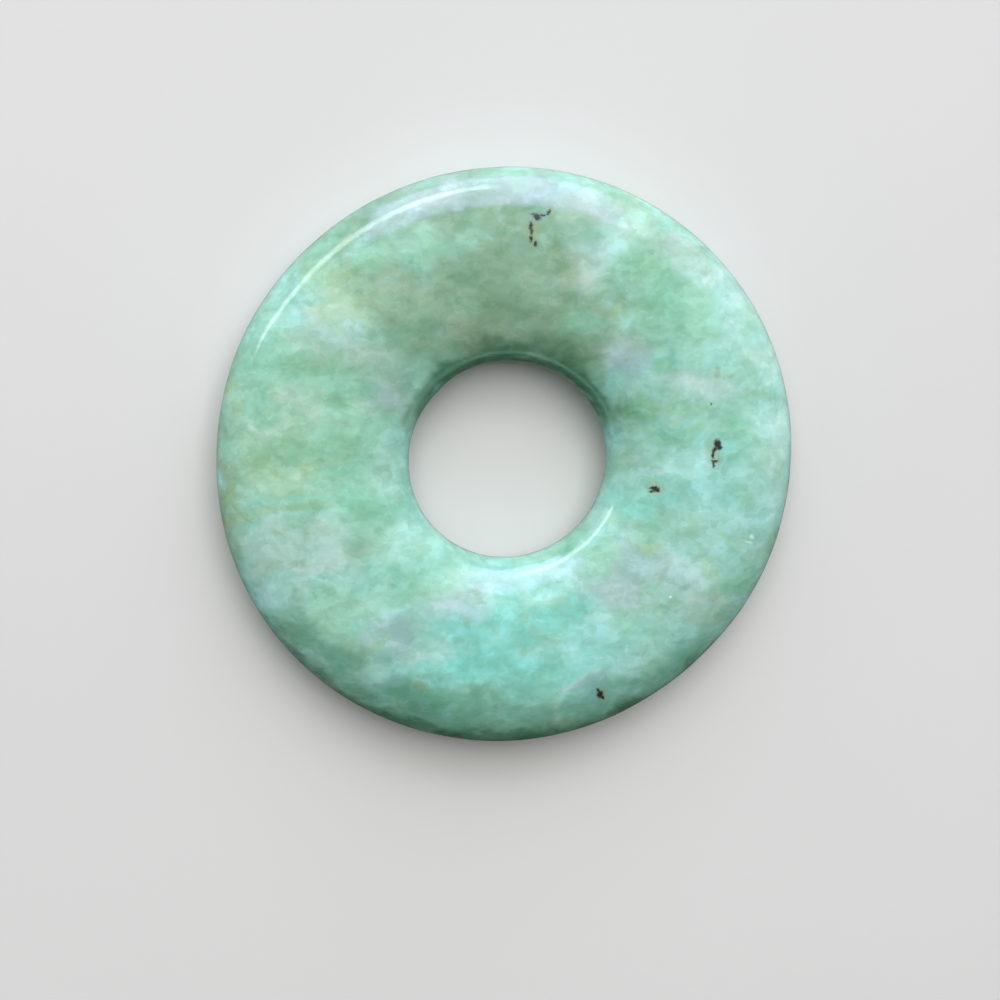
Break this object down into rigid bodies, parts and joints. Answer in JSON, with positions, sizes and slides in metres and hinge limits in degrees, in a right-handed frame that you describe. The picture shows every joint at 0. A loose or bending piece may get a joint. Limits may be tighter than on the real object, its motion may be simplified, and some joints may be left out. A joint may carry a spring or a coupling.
{
  "type": "jade bi disc",
  "caption": "Round ring of pale green jade in bi form, domed on both faces, with a plain round hole for a cord.",
  "frame": {"origin": "centre of the underside, on the hole's axis", "axes": "+Z is the hole's axis and points out of the face that the picture shows; +Y is up in the picture and +X right"},
  "size_m": [0.036, 0.036, 0.0055],
  "materials": {
    "jade": "polished jadeite, clouded mint and sage green with grey-white and olive patches"
  },
  "bodies": {
    "root": {"jade_disc": "jade"}
  },
  "joints": []
}
